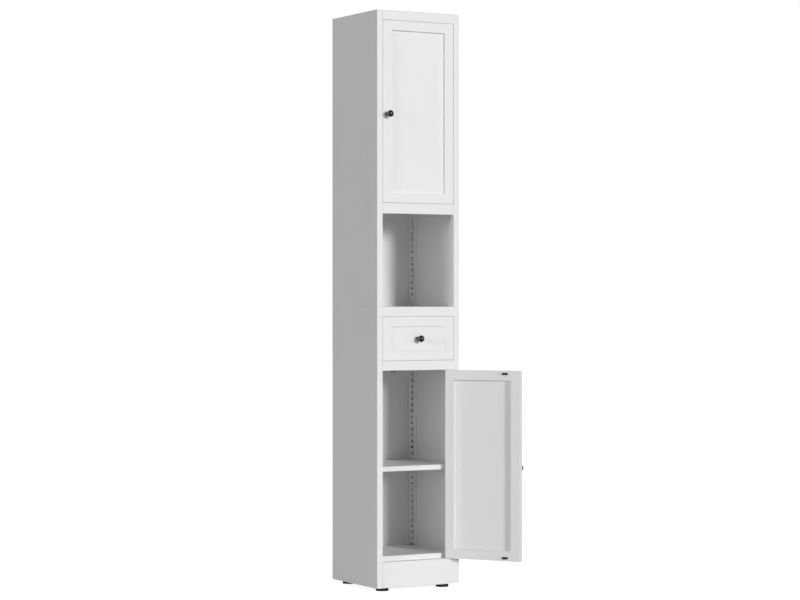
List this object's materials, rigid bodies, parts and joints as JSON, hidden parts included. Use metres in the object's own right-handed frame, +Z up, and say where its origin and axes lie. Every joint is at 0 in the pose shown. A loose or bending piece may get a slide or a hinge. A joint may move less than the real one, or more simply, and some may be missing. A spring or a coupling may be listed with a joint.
{
  "type": "tall bathroom cabinet",
  "caption": "Tall narrow free-standing bathroom cabinet in folded sheet steel, with a panelled door above an open bay, a drawer, and a panelled door below.",
  "frame": {"origin": "on the floor, at the centre of the square footprint of the carcass, between the four feet", "axes": "+Z up, -Y out of the front faces (doors and drawer), +X to the right of someone facing the front"},
  "size_m": [0.4309, 0.5087, 1.83],
  "materials": {
    "white_paint": "fine satin white powder coat",
    "knob_black": "gloss black lacquer",
    "foot_plastic": "moulded black plastic",
    "magnet_black": "black plastic case",
    "bush_nylon": "natural nylon",
    "zinc_steel": "bright zinc plate",
    "keeper_steel": "dark phosphated steel"
  },
  "bodies": {
    "cabinet": {"back_screws": "zinc_steel", "drawer_deck": "white_paint", "floor_pan": "white_paint", "foot_plates": "white_paint", "hinge_bushes": "bush_nylon", "joining_bolts": "zinc_steel", "joining_nuts": "zinc_steel", "kick_panel": "white_paint", "lower_back_panel": "white_paint", "lower_door_keeper": "keeper_steel", "lower_rear_post_left": "white_paint", "lower_rear_post_right": "white_paint", "lower_shelf": "white_paint", "lower_shelf_clips": "zinc_steel", "lower_side_left": "white_paint", "lower_side_right": "white_paint", "middle_deck": "white_paint", "slide_cabinet_left": "zinc_steel", "slide_cabinet_right": "zinc_steel", "top_panel": "white_paint", "upper_back_panel": "white_paint", "upper_deck": "white_paint", "upper_rear_post_left": "white_paint", "upper_rear_post_right": "white_paint", "upper_shelf": "white_paint", "upper_shelf_clips": "zinc_steel", "upper_side_left": "white_paint", "upper_side_right": "white_paint"},
    "lower_door": {"lower_door_hinge_pins": "zinc_steel", "lower_door_knob": "knob_black", "lower_door_knob_screw": "zinc_steel", "lower_door_magnets": "magnet_black", "lower_door_skin": "white_paint", "lower_door_strip_bottom": "white_paint", "lower_door_strip_free": "white_paint", "lower_door_strip_hinge": "white_paint", "lower_door_strip_top": "white_paint"},
    "upper_door": {"upper_door_hinge_pins": "zinc_steel", "upper_door_knob": "knob_black", "upper_door_knob_screw": "zinc_steel", "upper_door_magnets": "magnet_black", "upper_door_skin": "white_paint", "upper_door_strip_bottom": "white_paint", "upper_door_strip_free": "white_paint", "upper_door_strip_hinge": "white_paint", "upper_door_strip_top": "white_paint"},
    "drawer": {"drawer_front": "white_paint", "drawer_front_liner": "white_paint", "drawer_tray": "white_paint", "drawer_back": "white_paint", "drawer_knob": "knob_black", "drawer_knob_screw": "zinc_steel", "slide_drawer_left": "zinc_steel", "slide_drawer_right": "zinc_steel"},
    "slide_middle_left": {"slide_middle_left": "zinc_steel"},
    "slide_middle_right": {"slide_middle_right": "zinc_steel"},
    "foot_front_left": {"foot_front_left": "foot_plastic"},
    "foot_front_right": {"foot_front_right": "foot_plastic"},
    "foot_rear_left": {"foot_rear_left": "foot_plastic"},
    "foot_rear_right": {"foot_rear_right": "foot_plastic"}
  },
  "joints": [
    {"name": "lower_door_hinge", "type": "hinge", "parent": "cabinet", "child": "lower_door", "pos_m": [0.119, -0.1445, 0.0939], "axis": [0, 0, 1], "range_deg": [-124.5, 0]},
    {"name": "upper_door_hinge", "type": "hinge", "parent": "cabinet", "child": "upper_door", "pos_m": [0.119, -0.1445, 1.224], "axis": [0, 0, 1], "range_deg": [0, 124.5]},
    {"name": "drawer_slide", "type": "slide", "parent": "cabinet", "child": "drawer", "axis": [0, -1, 0], "range_m": [0, 0.19]},
    {"name": "slide_middle_left_travel", "type": "slide", "parent": "cabinet", "child": "slide_middle_left", "axis": [0, -1, 0], "range_m": [0, 0.095]},
    {"name": "slide_middle_right_travel", "type": "slide", "parent": "cabinet", "child": "slide_middle_right", "axis": [0, -1, 0], "range_m": [0, 0.095]},
    {"name": "foot_front_left_level", "type": "slide", "parent": "cabinet", "child": "foot_front_left", "axis": [0, 0, -1], "range_m": [0, 0.012]},
    {"name": "foot_front_right_level", "type": "slide", "parent": "cabinet", "child": "foot_front_right", "axis": [0, 0, -1], "range_m": [0, 0.012]},
    {"name": "foot_rear_left_level", "type": "slide", "parent": "cabinet", "child": "foot_rear_left", "axis": [0, 0, -1], "range_m": [0, 0.012]},
    {"name": "foot_rear_right_level", "type": "slide", "parent": "cabinet", "child": "foot_rear_right", "axis": [0, 0, -1], "range_m": [0, 0.012]}
  ],
  "couplings": [
    {"joint": "slide_middle_left_travel", "follows": "drawer_slide", "ratio": 0.5},
    {"joint": "slide_middle_right_travel", "follows": "drawer_slide", "ratio": 0.5}
  ]
}
